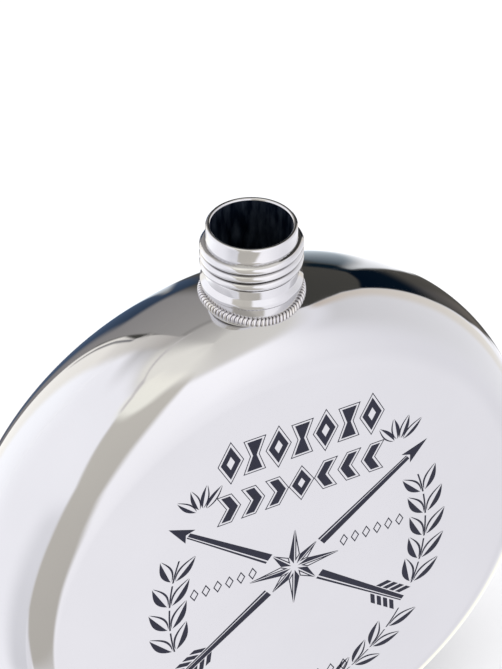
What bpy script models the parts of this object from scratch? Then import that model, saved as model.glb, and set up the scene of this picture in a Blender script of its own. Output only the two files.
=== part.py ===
"""A round hip flask: two pressed steel half shells, a welded screw neck, and the screw cap.

The flask stands on its base flat with its flat front face towards -Y and its neck along +Z.
The origin is the centre of the base flat. The cap stands behind the flask with its mouth up,
as it is put down when the flask is open. Every length below is in millimetres.
"""
import math

import bmesh
import bpy

MM = 0.001
GAP = 0.3                      # clearance between pieces that touch on the real object
PLANE_TOLERANCE = 1e-6         # metres
SHARP_ANGLE = 35.0             # degrees; edges sharper than this are shaded as edges

# Body: a disc with flat faces and an elliptical rim, pressed flat at the bottom.
BODY_RADIUS = 47.0
BODY_HALF_THICKNESS = 12.8
RIM_DEPTH = 8.5                # radial width of the rounded rim
WALL = 0.7
BASE_FLAT_DEPTH = 1.6          # how far the rim is pressed in to make the base flat
SEAM_HALF_WIDTH = 0.5
HOLE_BELOW_TOP = 10.0          # reach of the neck hole below and above the body's top
HOLE_ABOVE_TOP = 5.0
BODY_SEGMENTS = 60
RIM_STEPS = 8
CENTRE_HEIGHT = BODY_RADIUS - BASE_FLAT_DEPTH
BODY_TOP = CENTRE_HEIGHT + BODY_RADIUS

# Neck: heights are depths below the lip.
LIP_HEIGHT = BODY_TOP + 10.85
LIP_RADIUS = 6.5
BORE_RADIUS = 5.8
UNDERCUT_RADIUS = 6.75
FLANGE_RADIUS = 7.4
COLLAR_RADIUS = 7.1
UNDERCUT_TOP = 7.3
FLANGE_TOP = 8.75
FLANGE_BOTTOM = 9.75
SPOUT_LENGTH = 14.5
NECK_HOLE_RADIUS = COLLAR_RADIUS + GAP
NECK_SEGMENTS = 40

# Weld bead round the foot of the neck.
BEAD_INNER_RADIUS = COLLAR_RADIUS + GAP
BEAD_OUTER_RADIUS = 7.9
BEAD_HEIGHT = 0.8
BEAD_SHOULDER = 0.6            # share of the height where the bead's side turns inwards

# Screw thread, right-handed, shared by the neck and the cap.
PITCH = 1.4
THREAD_ROOT_RADIUS = 6.6
THREAD_CREST_RADIUS = 7.4
THREAD_TOP = 2.625             # depth of the first ridge's centre below the lip
THREAD_TURNS = 3.125
CAP_THREAD_TURNS = 3.0
THREAD_FADE_TURNS = 0.25
THREAD_STEPS = 24              # sections in one turn
NECK_RIDGE_SUNK_RADIUS = 6.35  # foot of the ridge, inside the wall it grows from
NECK_RIDGE_FADED_RADIUS = 6.45
NECK_RIDGE_BASE_WIDTH = 1.34
NECK_RIDGE_CREST_WIDTHS = (1.24, 0.30)     # when faded and at full depth
CAP_RIDGE_SUNK_RADIUS = 8.0
CAP_RIDGE_FADED_RADIUS = 7.9
CAP_RIDGE_BASE_WIDTH = 0.72
CAP_RIDGE_CREST_WIDTHS = (0.66, 0.20)
LOWEST_CAP_RIDGE = 1.0         # least height of the cap's first ridge above its mouth

# Cap: heights are measured from its mouth towards its top.
CAP_RADIUS = 9.35
CAP_HEIGHT = 13.5
CAP_WALL = 0.6
CAP_EDGE = 0.25
CAP_PLATE_BOTTOM = 11.3
CAP_PLATE_TOP = 12.2
CAP_RECESS_RADIUS = 8.2
TOP_DISC_RADIUS = CAP_RECESS_RADIUS - GAP
TOP_DISC_HEIGHT = 0.7
LINER_RADIUS = CAP_RADIUS - CAP_WALL - GAP
LINER_BORE_RADIUS = 7.75
LINER_BOTTOM = 0.3
LINER_CEILING = 10.1
LINER_TOP = CAP_PLATE_BOTTOM - GAP
LINER_CREST_RADIUS = 7.0
GASKET_OUTER_RADIUS = 6.6
GASKET_INNER_RADIUS = 5.0
GASKET_THICKNESS = 1.4
CAP_SEGMENTS = 48

# Where the cap stands, and how it goes onto the neck.
CAP_DISTANCE = 30.0            # from the neck's axis to the cap's axis, along +Y
CLOSED_MOUTH_DEPTH = 8.1       # the closed cap's mouth below the lip
HOVER_MOUTH_HEIGHT = LIP_HEIGHT + GAP
CARRY_AXIS_HEIGHT = (HOVER_MOUTH_HEIGHT + CAP_HEIGHT) / 2


def clear_scene():
    for item in list(bpy.data.objects):
        bpy.data.objects.remove(item, do_unlink=True)


def make_material(name, colour, roughness, metallic):
    material = bpy.data.materials.new(name)
    material.use_nodes = True
    shader = material.node_tree.nodes["Principled BSDF"]
    shader.inputs["Base Color"].default_value = (*colour, 1.0)
    shader.inputs["Roughness"].default_value = roughness
    shader.inputs["Metallic"].default_value = metallic
    return material


def place(name, mesh, material=None, parent=None, location=(0, 0, 0), rotation=(0, 0, 0)):
    """Link a mesh as an object; location is in millimetres."""
    thing = bpy.data.objects.new(name, mesh)
    bpy.context.scene.collection.objects.link(thing)
    thing.parent = parent
    thing.location = [value * MM for value in location]
    thing.rotation_euler = rotation
    if material:
        mesh.materials.append(material)
    return thing


def place_empty(name, location, parent=None, rotation=(0, 0, 0)):
    empty = bpy.data.objects.new(name, None)
    bpy.context.scene.collection.objects.link(empty)
    empty.parent = parent
    empty.location = [value * MM for value in location]
    empty.rotation_euler = rotation
    return empty


def as_helper(thing):
    """Mark an object as a cutter or a shape to join, which is no piece of its own."""
    thing.hide_render = True
    thing.display_type = "WIRE"
    return thing


def finish_mesh(name, mesh_data):
    bmesh.ops.recalc_face_normals(mesh_data, faces=mesh_data.faces)
    mesh = bpy.data.meshes.new(name)
    mesh_data.to_mesh(mesh)
    mesh_data.free()
    mesh.shade_smooth()
    mesh.set_sharp_from_angle(angle=math.radians(SHARP_ANGLE))
    return mesh


def revolve(name, profile, segments, closed=False, warp=None):
    """Turn (radius, height) points about Z. An open profile is closed by a face at each end."""
    mesh_data = bmesh.new()
    rings = []
    for radius, height in profile:
        ring = []
        for index in range(segments):
            angle = 2 * math.pi * index / segments
            x, y = radius * math.cos(angle), radius * math.sin(angle)
            z = height + (warp(x, y) if warp else 0.0)
            ring.append(mesh_data.verts.new((x * MM, y * MM, z * MM)))
        rings.append(ring)
    pairs = list(zip(rings, rings[1:]))
    if closed:
        pairs.append((rings[-1], rings[0]))
    else:
        mesh_data.faces.new(rings[0])
        mesh_data.faces.new(rings[-1])
    for lower, upper in pairs:
        for index in range(segments):
            after = (index + 1) % segments
            mesh_data.faces.new((lower[index], lower[after], upper[after], upper[index]))
    return finish_mesh(name, mesh_data)


def helical_ridge(name, start_height, turns, section):
    """Sweep a ridge up a right-handed helix. section(lift) gives its four (radius, height)
    corners, where lift runs from 0 at a faded end to 1 at full depth."""
    mesh_data = bmesh.new()
    count = round(turns * THREAD_STEPS)
    rings = []
    for index in range(count + 1):
        turn = index / THREAD_STEPS
        angle = 2 * math.pi * turn
        lift = min(1.0, turn / THREAD_FADE_TURNS, (turns - turn) / THREAD_FADE_TURNS)
        centre = start_height + PITCH * turn
        rings.append([
            mesh_data.verts.new((radius * math.cos(angle) * MM, radius * math.sin(angle) * MM,
                                 (centre + offset) * MM))
            for radius, offset in section(lift)])
    for before, after in zip(rings, rings[1:]):
        for corner in range(4):
            following = (corner + 1) % 4
            mesh_data.faces.new((before[corner], before[following],
                                 after[following], after[corner]))
    mesh_data.faces.new(rings[0])
    mesh_data.faces.new(rings[-1])
    return finish_mesh(name, mesh_data)


def trapezoid(base_radius, crest_radius, base_width, crest_width):
    return [(base_radius, -base_width / 2), (crest_radius, -crest_width / 2),
            (crest_radius, crest_width / 2), (base_radius, base_width / 2)]


def between(faded, full, lift):
    return faded + lift * (full - faded)


def neck_thread_section(lift):
    crest = between(NECK_RIDGE_FADED_RADIUS, THREAD_CREST_RADIUS, lift)
    crest_width = between(*NECK_RIDGE_CREST_WIDTHS, lift)
    return trapezoid(NECK_RIDGE_SUNK_RADIUS, crest, NECK_RIDGE_BASE_WIDTH, crest_width)


def cap_thread_section(lift):
    crest = between(CAP_RIDGE_FADED_RADIUS, LINER_CREST_RADIUS, lift)
    crest_width = between(*CAP_RIDGE_CREST_WIDTHS, lift)
    return trapezoid(CAP_RIDGE_SUNK_RADIUS, crest, CAP_RIDGE_BASE_WIDTH, crest_width)


def rim_radius(height, half_thickness, rim_depth):
    """Radius of the disc's outline at a height above its mid-plane."""
    share = min(1.0, abs(height) / half_thickness)
    return BODY_RADIUS - RIM_DEPTH + rim_depth * math.sqrt(1.0 - share * share)


def rim_profile(half_thickness, rim_depth, low, high):
    """Points of the rim's outline between two heights, evenly spaced in angle."""
    first = math.asin(max(-1.0, low / half_thickness))
    last = math.asin(min(1.0, high / half_thickness))
    steps = max(1, round(RIM_STEPS * (last - first) / (math.pi / 2)))
    heights = [half_thickness * math.sin(first + (last - first) * step / steps)
               for step in range(steps + 1)]
    return [(rim_radius(height, half_thickness, rim_depth), height) for height in heights]


def press_flat(mesh, depth_below_centre):
    """Cut a disc, whose axis is its local Z, along a plane at -Y and close the cut."""
    mesh_data = bmesh.new()
    mesh_data.from_mesh(mesh)
    geometry = mesh_data.verts[:] + mesh_data.edges[:] + mesh_data.faces[:]
    cut = bmesh.ops.bisect_plane(
        mesh_data, geom=geometry, dist=PLANE_TOLERANCE, plane_no=(0, -1, 0),
        plane_co=(0, -depth_below_centre * MM, 0), clear_outer=True)
    edges = [item for item in cut["geom_cut"] if isinstance(item, bmesh.types.BMEdge)]
    bmesh.ops.edgeloop_fill(mesh_data, edges=edges)
    bmesh.ops.recalc_face_normals(mesh_data, faces=mesh_data.faces)
    mesh_data.to_mesh(mesh)
    mesh_data.free()
    return mesh


def boolean(thing, operation, helper):
    modifier = thing.modifiers.new(operation.lower(), "BOOLEAN")
    modifier.operation = operation
    modifier.object = helper
    modifier.solver = "EXACT"


def body_slice(name, low, high, material, cutters):
    """A slice of the hollow disc between two heights along its axis; +height is the front."""
    profile = rim_profile(BODY_HALF_THICKNESS, RIM_DEPTH, low, high)
    mesh = press_flat(revolve(name, profile, BODY_SEGMENTS), CENTRE_HEIGHT)
    piece = place(name, mesh, material, location=(0, 0, CENTRE_HEIGHT),
                  rotation=(math.pi / 2, 0, 0))
    for cutter in cutters:
        boolean(piece, "DIFFERENCE", cutter)
    return piece


def make_body(materials):
    half_inside = BODY_HALF_THICKNESS - WALL
    reservoir_profile = rim_profile(half_inside, RIM_DEPTH - WALL, -half_inside, half_inside)
    reservoir_mesh = press_flat(revolve("reservoir", reservoir_profile, BODY_SEGMENTS),
                                CENTRE_HEIGHT - WALL)
    reservoir = as_helper(place("reservoir", reservoir_mesh, location=(0, 0, CENTRE_HEIGHT),
                                rotation=(math.pi / 2, 0, 0)))
    hole_profile = [(NECK_HOLE_RADIUS, BODY_TOP - HOLE_BELOW_TOP),
                    (NECK_HOLE_RADIUS, BODY_TOP + HOLE_ABOVE_TOP)]
    hole = as_helper(place("neck_hole", revolve("neck_hole", hole_profile, NECK_SEGMENTS)))
    cutters = (reservoir, hole)
    shell_start = SEAM_HALF_WIDTH + GAP
    body_slice("front_shell", shell_start, BODY_HALF_THICKNESS, materials["polished"], cutters)
    body_slice("back_shell", -BODY_HALF_THICKNESS, -shell_start, materials["polished"], cutters)
    body_slice("rim_weld_seam", -SEAM_HALF_WIDTH, SEAM_HALF_WIDTH, materials["weld"], cutters)


def spout_profile():
    """Closed outline of the neck, outside from the foot to the lip and back down the bore."""
    edge = 0.15
    flange_chamfer = 0.3
    depths = [
        (COLLAR_RADIUS - edge, SPOUT_LENGTH),
        (COLLAR_RADIUS, SPOUT_LENGTH - edge),
        (COLLAR_RADIUS, FLANGE_BOTTOM + edge),
        (FLANGE_RADIUS, FLANGE_BOTTOM),
        (FLANGE_RADIUS, FLANGE_TOP + flange_chamfer),
        (FLANGE_RADIUS - flange_chamfer, FLANGE_TOP),
        (UNDERCUT_RADIUS, FLANGE_TOP),
        (UNDERCUT_RADIUS, UNDERCUT_TOP),
        (THREAD_ROOT_RADIUS, UNDERCUT_TOP - edge),
        (THREAD_ROOT_RADIUS, THREAD_TOP - PITCH / 2),
        (LIP_RADIUS, THREAD_TOP - PITCH / 2 - edge),
        (LIP_RADIUS, edge),
        (LIP_RADIUS - edge, 0.0),
        (BORE_RADIUS + edge, 0.0),
        (BORE_RADIUS, edge),
        (BORE_RADIUS, SPOUT_LENGTH),
    ]
    return [(radius, LIP_HEIGHT - depth) for radius, depth in depths]


def make_neck(materials):
    mesh = revolve("neck_spout", spout_profile(), NECK_SEGMENTS, closed=True)
    spout = place("neck_spout", mesh, materials["turned"])
    start = LIP_HEIGHT - THREAD_TOP - THREAD_TURNS * PITCH
    ridge_mesh = helical_ridge("neck_thread", start, THREAD_TURNS, neck_thread_section)
    boolean(spout, "UNION", as_helper(place("neck_thread", ridge_mesh)))


def body_surface(x, y):
    """Height of the body's outer surface above the base, near the top of the rim."""
    radius = rim_radius(y, BODY_HALF_THICKNESS, RIM_DEPTH)
    return CENTRE_HEIGHT + math.sqrt(radius * radius - x * x)


def make_weld_bead(materials):
    middle = (BEAD_INNER_RADIUS + BEAD_OUTER_RADIUS) / 2
    profile = [
        (BEAD_INNER_RADIUS, GAP),
        (BEAD_OUTER_RADIUS, GAP),
        (BEAD_OUTER_RADIUS, GAP + BEAD_HEIGHT * BEAD_SHOULDER),
        (middle, GAP + BEAD_HEIGHT),
        (BEAD_INNER_RADIUS, GAP + BEAD_HEIGHT),
    ]
    mesh = revolve("neck_weld_bead", profile, NECK_SEGMENTS, closed=True, warp=body_surface)
    place("neck_weld_bead", mesh, materials["weld"])


def cap_shell_profile():
    """Open outline of the shell, from the recess in its top round the mouth to its ceiling."""
    return [
        (CAP_RECESS_RADIUS, CAP_PLATE_TOP),
        (CAP_RECESS_RADIUS, CAP_HEIGHT - CAP_EDGE),
        (CAP_RECESS_RADIUS + CAP_EDGE, CAP_HEIGHT),
        (CAP_RADIUS - CAP_EDGE, CAP_HEIGHT),
        (CAP_RADIUS, CAP_HEIGHT - CAP_EDGE),
        (CAP_RADIUS, CAP_EDGE),
        (CAP_RADIUS - CAP_EDGE, 0.0),
        (CAP_RADIUS - CAP_WALL, 0.0),
        (CAP_RADIUS - CAP_WALL, CAP_PLATE_BOTTOM),
    ]


def cap_liner_profile():
    return [
        (LINER_RADIUS - CAP_EDGE, LINER_TOP),
        (LINER_RADIUS, LINER_TOP - CAP_EDGE),
        (LINER_RADIUS, LINER_BOTTOM),
        (LINER_BORE_RADIUS, LINER_BOTTOM),
        (LINER_BORE_RADIUS, LINER_CEILING),
    ]


def top_disc_profile():
    bottom = CAP_PLATE_TOP + GAP
    return [
        (TOP_DISC_RADIUS, bottom),
        (TOP_DISC_RADIUS, bottom + TOP_DISC_HEIGHT - CAP_EDGE),
        (TOP_DISC_RADIUS - CAP_EDGE, bottom + TOP_DISC_HEIGHT),
    ]


def gasket_profile():
    edge = 0.3
    return [
        (GASKET_INNER_RADIUS, edge),
        (GASKET_INNER_RADIUS + edge, 0.0),
        (GASKET_OUTER_RADIUS - edge, 0.0),
        (GASKET_OUTER_RADIUS, edge),
        (GASKET_OUTER_RADIUS, GASKET_THICKNESS - edge),
        (GASKET_OUTER_RADIUS - edge, GASKET_THICKNESS),
        (GASKET_INNER_RADIUS + edge, GASKET_THICKNESS),
        (GASKET_INNER_RADIUS, GASKET_THICKNESS - edge),
    ]


def cap_thread_start():
    """Height of the cap's first ridge, midway between two of the neck's ridges when closed."""
    neck_start = LIP_HEIGHT - THREAD_TOP - THREAD_TURNS * PITCH
    closed_mouth = LIP_HEIGHT - CLOSED_MOUTH_DEPTH
    start = neck_start - closed_mouth + PITCH / 2
    return LOWEST_CAP_RIDGE + (start - LOWEST_CAP_RIDGE) % PITCH


def make_cap(materials):
    upside_down = (math.pi, 0, 0)
    carry_axis = place_empty("cap_carry_axis", (0, CAP_DISTANCE / 2, CARRY_AXIS_HEIGHT))
    mouth = (0, CAP_DISTANCE / 2, CAP_HEIGHT - CARRY_AXIS_HEIGHT)
    turn_axis = place_empty("cap_turn_axis", mouth, carry_axis, upside_down)
    gasket_mesh = revolve("cap_gasket", gasket_profile(), CAP_SEGMENTS, closed=True)
    place("cap_gasket", gasket_mesh, materials["silicone"], carry_axis, mouth, upside_down)
    shell_mesh = revolve("cap_shell", cap_shell_profile(), CAP_SEGMENTS)
    place("cap_shell", shell_mesh, materials["brushed"], turn_axis)
    disc_mesh = revolve("cap_top_disc", top_disc_profile(), CAP_SEGMENTS)
    place("cap_top_disc", disc_mesh, materials["brushed"], turn_axis)
    liner_mesh = revolve("cap_liner", cap_liner_profile(), CAP_SEGMENTS)
    liner = place("cap_liner", liner_mesh, materials["plastic"], turn_axis)
    ridge_mesh = helical_ridge("cap_thread", cap_thread_start(), CAP_THREAD_TURNS,
                               cap_thread_section)
    ridge = as_helper(place("cap_thread", ridge_mesh, parent=turn_axis))
    boolean(liner, "UNION", ridge)


def make_materials():
    return {
        "polished": make_material("polished_steel", (0.80, 0.80, 0.82), 0.06, 1.0),
        "turned": make_material("turned_steel", (0.82, 0.82, 0.84), 0.14, 1.0),
        "weld": make_material("weld_steel", (0.72, 0.71, 0.73), 0.25, 1.0),
        "brushed": make_material("brushed_steel", (0.70, 0.70, 0.71), 0.32, 1.0),
        "plastic": make_material("cap_plastic", (0.03, 0.03, 0.035), 0.45, 0.0),
        "silicone": make_material("silicone", (0.78, 0.78, 0.76), 0.50, 0.0),
    }


def main():
    clear_scene()
    materials = make_materials()
    make_body(materials)
    make_neck(materials)
    make_weld_bead(materials)
    make_cap(materials)


main()
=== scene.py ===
import math

import bmesh
import bpy
import numpy as np
from mathutils import Matrix, Vector


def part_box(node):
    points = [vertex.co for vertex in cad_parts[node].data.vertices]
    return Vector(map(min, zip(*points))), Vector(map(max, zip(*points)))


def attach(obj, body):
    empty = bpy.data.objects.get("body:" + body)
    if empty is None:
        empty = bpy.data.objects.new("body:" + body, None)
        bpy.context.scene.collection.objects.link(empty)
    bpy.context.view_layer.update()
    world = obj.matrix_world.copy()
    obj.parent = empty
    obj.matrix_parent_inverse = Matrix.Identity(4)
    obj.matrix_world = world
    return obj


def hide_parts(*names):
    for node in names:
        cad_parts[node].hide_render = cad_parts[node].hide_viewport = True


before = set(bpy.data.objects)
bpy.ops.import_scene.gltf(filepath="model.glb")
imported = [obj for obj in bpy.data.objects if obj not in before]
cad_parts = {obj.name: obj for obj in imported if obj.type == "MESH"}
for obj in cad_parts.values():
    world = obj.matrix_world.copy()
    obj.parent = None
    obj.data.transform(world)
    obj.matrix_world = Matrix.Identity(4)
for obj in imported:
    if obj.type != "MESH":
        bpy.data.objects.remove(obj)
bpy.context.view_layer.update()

MM = 0.001
TAU = 2 * math.pi

# Body, read from the CAD where its boxes give it, and as designed there where they don't.
BODY_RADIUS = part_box("rim_weld_seam")[1].x / MM
HALF_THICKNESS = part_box("back_shell")[1].y / MM
RIM_DEPTH = 8.5
WALL = 0.7
CENTRE_HEIGHT = 45.4
PRESS_BLEND = 0.7              # how softly the rim turns into the base flat
SEAM_HALF_WIDTH = 0.45
INK_THICKNESS = 0.02
FACE_Y = HALF_THICKNESS - INK_THICKNESS    # of the flat steel faces, from the middle plane
BODY_COLUMNS = 384
RIM_ROWS = 44
FLAT_RINGS = (0.06, 0.25, 0.45, 0.65, 0.82, 0.94, 0.985)    # as shares of the flat's radius
SNAP_REACH = 1.5               # how far the cut's ragged edge strays from the neck hole

# Neck, with depths below the lip.
LIP_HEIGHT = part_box("neck_spout")[1].z / MM
THREAD_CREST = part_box("neck_spout")[1].x / MM
THREAD_ROOT = 6.55
LIP_RADIUS = 6.5
BORE_RADIUS = 5.8
UNDERCUT_RADIUS = 6.75
COLLAR_RADIUS = 7.1
FLANGE_RADIUS = 7.38
PITCH = 1.4
THREAD_TOP = 2.8               # depth of the thread's upper end below the lip
THREAD_TURNS = 3.0
CAP_THREAD_TURNS = 3.0
THREAD_FADE = 0.2              # turns over which a ridge sinks into the wall
THREAD_START = LIP_HEIGHT - THREAD_TOP - THREAD_TURNS * PITCH
UNDERCUT_DEPTHS = (7.1, 8.5)
FLANGE_DEPTHS = (9.15, 9.75)
NECK_DEPTH = 14.5              # of its lower end, inside the body
NECK_COLUMNS = 288
HOLE_RADIUS = 7.4              # of the hole in the body that the neck stands in

# Weld bead, with heights above the body's surface.
BEAD_RIPPLES = 80
BEAD_RIPPLE_DEPTH = 0.42
BEAD_CRESCENT = 0.9            # how far the ripples curve back, in radians of a ripple
BEAD_MIDDLE = 7.36
BEAD_HALF_WIDTH = 0.42
BEAD_FOOT = 0.22
BEAD_RISE = 0.60
BEAD_ROWS = 24
RIPPLE_COLUMNS = 14

# Cap, with heights from its mouth towards its top.
CAP_LOW, CAP_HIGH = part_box("cap_shell")
CAP_RADIUS = (CAP_HIGH.x - CAP_LOW.x) / 2 / MM
CAP_HEIGHT = CAP_HIGH.z / MM
CAP_CENTRE_Y = (CAP_HIGH.y + CAP_LOW.y) / 2 / MM
CAP_INNER_RADIUS = CAP_RADIUS - 0.6
CAP_CEILING = 11.3
FLUTES = 60
FLUTE_DEPTH = 0.22
FLUTE_ENDS = (1.5, 11.4)
RECESS_RADIUS = 8.2            # of the hollow in the cap's top that holds the disc
RECESS_FLOOR = 12.2
DISC_RADIUS = 7.9
DISC_HEIGHTS = (12.5, 13.2)
LINER_RADIUS = 8.45
LINER_HEIGHTS = (0.3, 11.0)
LINER_BORE = 7.75
LINER_CEILING = 10.1
CAP_RIDGE_HEIGHT = 0.62
LOWEST_CAP_RIDGE = 1.0         # least height of its first ridge above the mouth
CLOSED_MOUTH_DEPTH = 8.1       # of the mouth below the lip, with the cap screwed down
RING_RADII = (5.0, 6.6)
RING_THICKNESS = 1.4
FLUTE_COLUMNS = 12
LINER_COLUMNS = 256
RING_COLUMNS = 192

# Camera, at the photograph's viewing angle.
CAMERA_AZIMUTH = -27.9
CAMERA_ELEVATION = 38.7
CAMERA_DISTANCE = 0.3534
CAMERA_TARGET = (-0.0001, 0.0, 0.08334)
CAMERA_LENS = 131.4


# -------- mesh helpers

def new_object(name, data):
    """Link a mesh, a lamp or a camera to the scene."""
    thing = bpy.data.objects.new(name, data)
    bpy.context.scene.collection.objects.link(thing)
    return thing


def new_piece(name, mesh, material, body, slot, *replaced):
    """Make a finished mesh a piece that rides on a body and stands for CAD nodes."""
    thing = new_object(name, mesh)
    mesh.materials.append(material)
    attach(thing, body)
    if replaced:
        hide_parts(*replaced)


def build_mesh(name, points, faces, sharp_angle=30.0):
    """A smooth-shaded mesh from points in millimetres, with its faces turned outwards."""
    mesh = bpy.data.meshes.new(name)
    mesh.from_pydata([[value * MM for value in point] for point in points], [], faces)
    shape = bmesh.new()
    shape.from_mesh(mesh)
    bmesh.ops.remove_doubles(shape, verts=shape.verts, dist=1e-7)
    bmesh.ops.recalc_face_normals(shape, faces=shape.faces)
    shape.to_mesh(mesh)
    shape.free()
    mesh.shade_smooth()
    mesh.set_sharp_from_angle(angle=math.radians(sharp_angle))
    return mesh


def grid_faces(rows, columns, closed_rows=False):
    """Quads of a grid whose columns wrap round; closed_rows joins the last row to the first."""
    faces = []
    for row in range(rows if closed_rows else rows - 1):
        above = (row + 1) % rows
        for column in range(columns):
            after = (column + 1) % columns
            faces.append((row * columns + column, row * columns + after,
                          above * columns + after, above * columns + column))
    return faces


def turned_mesh(name, outline, columns, closed=True, radius_at=None, place=None):
    """Turn an outline of (radius, height) points about the Z axis.

    radius_at(radius, height, angle) can carve the surface, for threads and flutes, and
    place(x, y, height) can move it. An open outline is closed by a face at each end."""
    points = []
    for radius, height in outline:
        for column in range(columns):
            angle = TAU * column / columns
            reach = radius_at(radius, height, angle) if radius_at else radius
            point = (reach * math.cos(angle), reach * math.sin(angle), height)
            points.append(place(*point) if place else point)
    rows = len(outline)
    faces = grid_faces(rows, columns, closed_rows=closed)
    if not closed:
        faces.append(tuple(range(columns)))
        faces.append(tuple(range((rows - 1) * columns, rows * columns)))
    return build_mesh(name, points, faces)


def rounded(outline, radius, steps=5, closed=True):
    """Replace each corner of an outline by a small arc, cut to fit the sides beside it."""
    result = []
    count = len(outline)
    for index, corner in enumerate(outline):
        if not closed and index in (0, count - 1):
            result.append(corner)
            continue
        here = Vector(corner)
        before = Vector(outline[index - 1]) - here
        after = Vector(outline[(index + 1) % count]) - here
        reach = min(radius, before.length * 0.45, after.length * 0.45)
        start = here + before.normalized() * reach
        end = here + after.normalized() * reach
        for step in range(steps + 1):
            share = step / steps
            point = start * (1 - share) ** 2 + here * 2 * share * (1 - share) + end * share ** 2
            result.append(tuple(point))
    return result


def densified(outline, spacing, low, high):
    """Add points to the near-vertical runs of an outline between two heights."""
    result = [outline[0]]
    for (r0, z0), (r1, z1) in zip(outline, outline[1:]):
        if low <= min(z0, z1) and max(z0, z1) <= high and abs(z1 - z0) > spacing:
            count = math.ceil(abs(z1 - z0) / spacing)
            for step in range(1, count):
                share = step / count
                result.append((r0 + (r1 - r0) * share, z0 + (z1 - z0) * share))
        result.append((r1, z1))
    return result


def mark_grooves(mesh, groove_at):
    """Store groove_at(x, y, z), from 0 to 1, for the material to paint shade into the grooves."""
    attribute = mesh.attributes.new("groove", "FLOAT", "POINT")
    places = [vertex.co / MM for vertex in mesh.vertices]
    attribute.data.foreach_set("value", [groove_at(*place) for place in places])


# -------- shader helpers

class Nodes:
    """Short names for building one material's node tree."""

    def __init__(self, material):
        material.use_nodes = True
        self.tree = material.node_tree
        self.shader = self.tree.nodes["Principled BSDF"]

    def add(self, kind, **settings):
        node = self.tree.nodes.new(kind)
        for key, value in settings.items():
            setattr(node, key, value)
        return node

    def link(self, source, target):
        self.tree.links.new(source, target)

    def set(self, **values):
        """Set sockets of the shader by their names, with _ for a space."""
        for key, value in values.items():
            self.shader.inputs[key.replace("_", " ")].default_value = value

    def feed(self, **sources):
        """Link node outputs to sockets of the shader by their names, with _ for a space."""
        for key, source in sources.items():
            self.link(source, self.shader.inputs[key.replace("_", " ")])

    def position(self, scale=(1, 1, 1)):
        coordinates = self.add("ShaderNodeTexCoord")
        mapping = self.add("ShaderNodeMapping")
        mapping.inputs["Scale"].default_value = scale
        self.link(coordinates.outputs["Object"], mapping.inputs["Vector"])
        return mapping.outputs["Vector"]

    def noise(self, vector, scale, detail=3.0, roughness=0.5):
        node = self.add("ShaderNodeTexNoise")
        node.inputs["Scale"].default_value = scale
        node.inputs["Detail"].default_value = detail
        node.inputs["Roughness"].default_value = roughness
        self.link(vector, node.inputs["Vector"])
        return node.outputs["Fac"]

    def span(self, value, low, high, from_low=0.3, from_high=0.7):
        node = self.add("ShaderNodeMapRange")
        node.inputs["From Min"].default_value = from_low
        node.inputs["From Max"].default_value = from_high
        node.inputs["To Min"].default_value = low
        node.inputs["To Max"].default_value = high
        self.link(value, node.inputs["Value"])
        return node.outputs["Result"]

    def ramp(self, value, *stops):
        node = self.add("ShaderNodeValToRGB")
        elements = node.color_ramp.elements
        while len(elements) < len(stops):
            elements.new(0.5)
        for element, (place, colour) in zip(elements, stops):
            element.position = place
            element.color = (*colour, 1.0)
        self.link(value, node.inputs["Fac"])
        return node.outputs["Color"]

    def mix(self, share, first, second, kind="RGBA"):
        """Blend two colours, or two numbers if kind is FLOAT."""
        node = self.add("ShaderNodeMix", data_type=kind)
        a, b, result = (6, 7, 2) if kind == "RGBA" else (2, 3, 0)
        self.link(share, node.inputs[0])
        self.link(first, node.inputs[a])
        self.link(second, node.inputs[b])
        return node.outputs[result]

    def from_axis(self, inside, outside, centre_y=0.0):
        """0 nearer to a vertical axis than inside and 1 beyond outside, in millimetres."""
        apart = self.add("ShaderNodeSeparateXYZ")
        self.link(self.add("ShaderNodeTexCoord").outputs["Object"], apart.inputs["Vector"])
        across = self.math("SUBTRACT", apart.outputs["Y"], centre_y * MM)
        squares = self.math("ADD", self.math("POWER", apart.outputs["X"], 2.0),
                            self.math("POWER", across, 2.0))
        reach = self.math("SQRT", squares)
        return self.span(reach, 0.0, 1.0, inside * MM, outside * MM)

    def groove(self):
        """0 on open metal and 1 in the bottom of a groove, from the mesh's own attribute; the
        materials paint shade there.
        """
        node = self.add("ShaderNodeAttribute")
        node.attribute_name = "groove"
        return node.outputs["Fac"]

    def math(self, operation, first, second=None):
        node = self.add("ShaderNodeMath", operation=operation)
        for index, value in enumerate((first, second)):
            if isinstance(value, (int, float)):
                node.inputs[index].default_value = value
            elif value is not None:
                self.link(value, node.inputs[index])
        return node.outputs["Value"]

    def bump(self, height, distance, strength, base=None):
        node = self.add("ShaderNodeBump")
        node.inputs["Distance"].default_value = distance
        node.inputs["Strength"].default_value = strength
        self.link(height, node.inputs["Height"])
        if base:
            self.link(base, node.inputs["Normal"])
        self.feed(Normal=node.outputs["Normal"])
        return node.outputs["Normal"]

    def finish(self, grain, tones, roughness, relief, tone_end=0.7):
        """Let one noise drive the tone, the roughness and the relief (distance, strength)."""
        self.feed(Base_Color=self.ramp(grain, (0.3, tones[0]), (tone_end, tones[1])),
                  Roughness=self.span(grain, *roughness))
        self.bump(grain, *relief)


def new_nodes(name):
    material = bpy.data.materials.new(name)
    return material, Nodes(material)


def new_metal(name):
    material, nodes = new_nodes(name)
    nodes.set(Metallic=1.0)
    return material, nodes


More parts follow.
